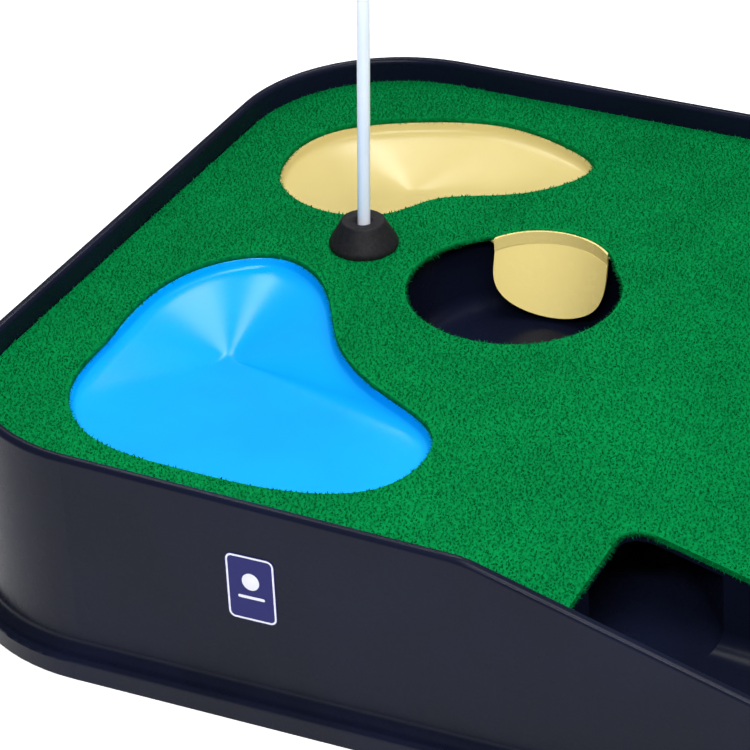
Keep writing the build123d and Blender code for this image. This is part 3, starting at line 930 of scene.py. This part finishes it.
@dataclass
class FlagAssembly:
    """Rubber base, stick, cap, collar and pennant."""

    shape: TrayShape
    finishes: Finishes
    base_run_mm: float = 117.5
    base_side_mm: float = 28.5
    base_radius: float = 17.3 * MM
    top_radius: float = 10.9 * MM
    base_height: float = 14.5 * MM
    bore_radius: float = 3.21 * MM
    lean: float = math.radians(2.0)
    cloth_depth: float = 76 * MM
    cloth_length: float = 110 * MM
    cloth_foot: float = 247.8 * MM
    cloth_thickness: float = 0.5 * MM
    cloth_taper: float = 0.72
    cloth_sag: float = 2.5 * MM
    ripple_height: float = 3.2 * MM
    sleeve_outer: float = 4.3 * MM
    sleeve_inner: float = 3.55 * MM
    sleeve_reach: float = 4.0 * MM
    stitch_rows: tuple[float, ...] = (6.5 * MM, 8.5 * MM)
    stitch_margin: float = 4 * MM
    stitch_pitch: float = 3.2 * MM
    stitch_radius: float = 0.35 * MM
    stitch_out: float = 0.3 * MM

    def build(self) -> None:
        """Build the base and the pennant, and dress the turned parts."""
        self.build_base()
        self.build_pennant()
        repaint(self.finishes.white, "flagstick")
        repaint(self.finishes.black, "stick_cap")
        repaint(self.finishes.rubber, "flag_collar")
        repaint(self.finishes.steel, "base_washer")

    def build_base(self) -> None:
        """Rubber cone with an upright band at its foot, a dished top and a bore for the stick."""
        foot, top, high = self.base_radius, self.top_radius, self.base_height
        neck = 5.2 * MM
        profile = [(neck, -15 * MM), (neck, 0.0), (foot - 0.9 * MM, 0.0), (foot - 0.2 * MM, 0.4 * MM),
                   (foot, 1.2 * MM), (foot, 2.4 * MM), (foot - 0.5 * MM, 3.6 * MM)]
        slope = [(foot - 0.5 * MM + (top + 0.5 * MM - foot + 0.5 * MM) * t,
                  3.6 * MM + (high - 5.0 * MM) * t) for t in (0.25, 0.5, 0.75, 1.0)]
        rim = [(top + 0.1 * MM, high - 0.5 * MM), (top - 0.5 * MM, high - 0.05 * MM),
               (top - 1.2 * MM, high), (top - 2.0 * MM, high - 0.25 * MM), (5.6 * MM, high - 0.35 * MM),
               (4.9 * MM, high - 0.7 * MM), (self.bore_radius, high - 2.4 * MM),
               (self.bore_radius, -12.5 * MM)]
        piece = turned(profile + slope + rim)
        for vertex in piece.data.vertices:
            if math.hypot(*vertex.co.xy) < self.bore_radius + 0.1 * MM:
                vertex.co.x += vertex.co.z * math.tan(self.lean)
        smooth(piece, 35)
        place_mesh(piece, self.shape.on_plateau(self.base_run_mm, self.base_side_mm, self.shape.turf_drop))
        dress(piece, "flag_base_cone", Body.TRAY, self.finishes.rubber)
        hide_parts("flag_base")

    def build_pennant(self) -> None:
        """Pennant with a rolled sleeve and a soft ripple."""
        place = self.shape.on_plateau(self.base_run_mm, self.base_side_mm, self.shape.turf_drop)
        place = place @ Matrix.Rotation(self.lean, 4, "Y")
        middle = self.cloth_foot + self.cloth_depth / 2
        select_none()
        bpy.ops.mesh.primitive_grid_add(x_subdivisions=64, y_subdivisions=28, size=1)
        cloth = bpy.context.object
        for vertex in cloth.data.vertices:
            along, up = vertex.co.x + 0.5, vertex.co.y + 0.5
            half = self.cloth_depth / 2 * (1 - self.cloth_taper * along)
            sag = -self.cloth_sag * along ** 2
            ripple = self.ripple_height * along * math.sin(along * 8.5 + 0.8 * up) * (0.75 + 0.25 * up)
            x = self.sleeve_reach + (self.cloth_length - self.sleeve_reach) * along
            vertex.co = (x, ripple, middle + (2 * up - 1) * half + sag)
        thicken(cloth, self.cloth_thickness)
        place_mesh(cloth, place)
        smooth(cloth, 60)
        self.build_sleeve(place, cloth)

    def build_sleeve(self, place: Matrix, cloth: bpy.types.Object) -> None:
        """Sleeve round the stick and the rows of stitches that close it.

        Args:
            place: Place of the stick's foot, with Z along the stick.
            cloth: The pennant, which is dressed after the sleeve and the stitches.
        """
        select_none()
        bpy.ops.mesh.primitive_cylinder_add(
            vertices=48, radius=self.sleeve_outer, depth=self.cloth_depth, end_fill_type="NOTHING",
            location=(0, 0, self.cloth_foot + self.cloth_depth / 2))
        sleeve = bpy.context.object
        bpy.ops.object.transform_apply(location=True)
        thicken(sleeve, self.sleeve_outer - self.sleeve_inner, -1.0)
        rim = sleeve.modifiers.new("edge", "BEVEL")
        rim.width = 0.2 * MM
        rim.segments = 2
        apply_modifiers(sleeve)
        place_mesh(sleeve, place)
        smooth(sleeve, 40)
        dress(sleeve, "flag_sleeve", Body.FLAG, self.finishes.flag)
        stitches = self.build_stitches(place)
        dress(cloth, "flag_pennant", Body.FLAG, self.finishes.flag)
        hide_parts("flag_cloth")

    def build_stitches(self, place: Matrix) -> bpy.types.Object:
        """Rows of stitches beside the sleeve on both faces of the cloth."""
        select_none()
        bpy.ops.mesh.primitive_uv_sphere_add(segments=8, ring_count=6, radius=self.stitch_radius)
        stitch = bpy.context.object
        stitch.data.transform(Matrix.Diagonal((1, 1, 3, 1)))
        made = []
        for row in self.stitch_rows:
            for face in (-self.stitch_out, self.stitch_out):
                height = self.cloth_foot + self.stitch_margin
                while height < self.cloth_foot + self.cloth_depth - self.stitch_margin:
                    copied = add_object("stitch", stitch.data.copy())
                    copied.data.transform(Matrix.Translation((row, face, height)))
                    made.append(copied)
                    height += self.stitch_pitch
        bpy.data.objects.remove(stitch)
        select_none()
        for copied in made:
            copied.select_set(True)
        bpy.context.view_layer.objects.active = made[0]
        bpy.ops.object.join()
        joined = bpy.context.object
        place_mesh(joined, place)
        return dress(joined, "flag_stitches", Body.FLAG, self.finishes.label_white)


# Shell, return and fittings


@dataclass
class TrayFittings:
    """Rigid parts that keep their CAD shape, and the label's print."""

    finishes: Finishes
    wall_draft: float = math.radians(3.0)
    label_width: float = 24 * MM
    label_height: float = 33 * MM
    label_corner: float = 3.5 * MM
    border_band: float = 0.9 * MM
    border_inset: float = 0.35 * MM
    print_thickness: float = 0.08 * MM
    print_lift: float = 0.16 * MM
    ball_up: float = 3.5 * MM
    line_down: float = 4.5 * MM
    line_size: Point = (13 * MM, 1.4 * MM)

    def build(self) -> None:
        """Dress the carried-over nodes and add the label's raised print."""
        repaint(self.finishes.black, "outer_shell", "deck_panel", "return_channel")
        repaint(self.finishes.guard, "ball_deflector")
        repaint(self.finishes.steel, "shelf_screws", "channel_screws", "deflector_rivets")
        repaint(self.finishes.tape, "hook_tape", "loop_tape")
        repaint(self.finishes.label, "side_label")
        self.build_label_print()

    def build_label_print(self) -> None:
        """White border, ball and line printed on the label."""
        low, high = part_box("side_label")
        centre = (low + high) / 2
        outward = Vector((0, -math.cos(self.wall_draft), math.sin(self.wall_draft)))
        along = Vector((1, 0, 0))
        up = outward.cross(along)
        turn = Matrix((along, up, outward)).transposed().to_4x4()
        face = Matrix.Translation(centre + outward * self.print_lift) @ turn
        border = self.build_border()
        ball = turned([(4.2 * MM, -0.05 * MM), (4.2 * MM, 0.02 * MM), (4.0 * MM, 0.08 * MM),
                       (0.3 * MM, 0.10 * MM)], 48)
        smooth(ball, 40)
        prints = (("label_border", border, 0.0), ("label_ball", ball, self.ball_up),
                  ("label_line", self.bar(*self.line_size), -self.line_down))
        for name, piece, up_by in prints:
            place_mesh(piece, face @ Matrix.Translation((0, up_by, 0)))
            dress(piece, name, Body.TRAY, self.finishes.label_white)

    @staticmethod
    def rounded_outline(width: float, height: float, radius: float, steps: int = 8) -> list[Vector]:
        """Points round a rectangle with round corners."""
        points = []
        for turn, (sx, sy) in enumerate(((1, 1), (-1, 1), (-1, -1), (1, -1))):
            corner = Vector((sx * (width / 2 - radius), sy * (height / 2 - radius), 0))
            for step in range(steps + 1):
                angle = math.radians(90 * turn + 90 * step / steps)
                points.append(corner + Vector((math.cos(angle), math.sin(angle), 0)) * radius)
        return points

    def build_border(self) -> bpy.types.Object:
        """Thin raised border that follows the label's edge."""
        rings = []
        for inset in (self.border_inset, self.border_inset + self.border_band):
            rings.append(self.rounded_outline(self.label_width - 2 * inset, self.label_height - 2 * inset,
                                              self.label_corner - inset))
        outer, inner = rings
        count = len(outer)
        faces = [(i, (i + 1) % count, count + (i + 1) % count, count + i) for i in range(count)]
        return self.print_plate("border", outer + inner, faces)

    def bar(self, width: float, height: float) -> bpy.types.Object:
        """Thin raised bar with round ends."""
        outline = self.rounded_outline(width, height, height * 0.49)
        return self.print_plate("bar", outline, [tuple(range(len(outline)))])

    def print_plate(self, name: str, points: list[Vector], faces: list[tuple[int, ...]]) -> bpy.types.Object:
        """Thin plate of print from its flat faces.

        Args:
            name: The plate's name.
            points: Its points, in its own plane.
            faces: Its faces by the numbers of their points.

        Returns:
            The closed plate.
        """
        mesh = bpy.data.meshes.new(name)
        mesh.from_pydata(points, [], faces)
        piece = add_object(name, mesh)
        thicken(piece, self.print_thickness)
        tidy_mesh(piece, 0.001)
        return piece


# Camera, floor and light


@dataclass(frozen=True)
class Lamp:
    """Soft rectangular light that faces the raised end."""

    name: str
    bearing: float
    elevation: float
    distance: float
    size: Point
    power: float
    target: tuple[float, float, float] = (-0.78, -0.02, 0.09)

    def build(self) -> None:
        """Hang the light at its bearing from the far side and its elevation, in degrees."""
        bearing, elevation = math.radians(self.bearing), math.radians(self.elevation)
        way = Vector((math.sin(bearing) * math.cos(elevation), math.cos(bearing) * math.cos(elevation),
                      math.sin(elevation)))
        data = bpy.data.lights.new(self.name, "AREA")
        data.shape = "RECTANGLE"
        data.size, data.size_y = self.size
        data.energy = self.power
        turn = (-way).to_track_quat("-Z", "Y").to_matrix().to_4x4()
        place = Matrix.Translation(Vector(self.target) + way * self.distance)
        add_object(self.name, data).matrix_world = place @ turn


# Bearing and elevation in degrees, distance and size in metres, power in watts. The strips behind the tray
# make the streaks in the bowls.
LAMPS = (
    Lamp("front_softbox", 155, 42, 1.35, (0.6, 0.13), 8.0),
    Lamp("top_softbox", 124, 67, 0.85, (0.45, 0.45), 4.2),
    Lamp("room_softbox", 90, 70, 2.6, (3.4, 2.0), 30.0, (-0.3, 0.0, 0.05)),
    Lamp("left_strip", -8, 55, 1.5, (0.2, 0.4), 1.5),
    Lamp("right_strip", -37, 50, 1.5, (0.2, 0.62), 2.7),
    Lamp("sand_strip", -17, 54, 1.3, (0.1, 0.36), 1.6, (-0.82, 0.14, 0.09)),
)


@dataclass(frozen=True)
class Studio:
    """Pale floor, soft lights and the camera."""

    camera_place: tuple[float, float, float] = (-0.18194, -1.09012, 0.78518)
    camera_yaw: float = -0.49339
    camera_pitch: float = 0.54199
    camera_roll: float = -0.077367
    focal_length: float = 139.78
    floor_size: float = 40.0
    floor_gap: float = 0.5 * MM
    floor_glow: float = 0.6
    surroundings: float = 0.2

    def build(self) -> None:
        """Make the camera, the floor and the lights."""
        self.make_camera()
        self.make_floor()
        self.make_world()
        for lamp in LAMPS:
            lamp.build()
        bpy.context.scene.view_settings.view_transform = "Standard"

    def make_camera(self) -> None:
        """Camera by yaw, pitch and roll, looking down on the raised end."""
        yaw, pitch, roll = self.camera_yaw, self.camera_pitch, self.camera_roll
        ahead = Vector((math.sin(yaw) * math.cos(pitch), math.cos(yaw) * math.cos(pitch), -math.sin(pitch)))
        level = Vector((math.cos(yaw), -math.sin(yaw), 0))
        upright = level.cross(ahead)
        right = math.cos(roll) * level + math.sin(roll) * upright
        above = -math.sin(roll) * level + math.cos(roll) * upright
        turn = Matrix((right, above, -ahead)).transposed().to_4x4()
        data = bpy.data.cameras.new("camera")
        data.lens = self.focal_length
        data.sensor_width = 36.0
        data.clip_start = 0.05
        camera = add_object("camera", data)
        camera.matrix_world = Matrix.Translation(Vector(self.camera_place)) @ turn
        bpy.context.scene.camera = camera

    def make_floor(self) -> None:
        """Large pale floor under the mat."""
        select_none()
        bpy.ops.mesh.primitive_plane_add(size=self.floor_size, location=(0, 0, -self.floor_gap))
        floor = bpy.context.object
        floor.name = "floor"
        material, tree = blank_material("pale_floor")
        tone = blend_colours(tree, noise(tree, 900.0), "#F2F2F3", "#F6F6F7")
        close_material(tree, Base_Color=tone, Roughness=0.9, Emission_Color=(1, 1, 1, 1),
                       Emission_Strength=self.floor_glow)
        floor.data.materials.append(material)

    def make_world(self) -> None:
        """Even white surroundings."""
        world = bpy.data.worlds.new("studio")
        world.use_nodes = True
        world.node_tree.nodes["Background"].inputs["Color"].default_value = (1, 1, 1, 1)
        world.node_tree.nodes["Background"].inputs["Strength"].default_value = self.surroundings
        bpy.context.scene.world = world


def main() -> None:
    """Build the mat piece by piece."""
    logging.basicConfig(level=logging.INFO, format="%(message)s")
    Studio().build()
    finishes = Finishes.build()
    shape = TrayShape()
    TrayFittings(finishes).build()
    Hazard(shape, "water_hazard_bowl", "water_hazard_insert", WATER_OUTLINE, (88, -61), 19.0, Slot.BLUE,
           finishes.blue).build()
    Hazard(shape, "sand_trap_bowl", "sand_trap_insert", SAND_OUTLINE, (100, 120), 17.0, Slot.SAND,
           finishes.sand).build()
    FlagAssembly(shape, finishes).build()
    TurfDeck(shape, finishes).build()
    Runner(finishes).build()


if __name__ == "__main__":
    main()
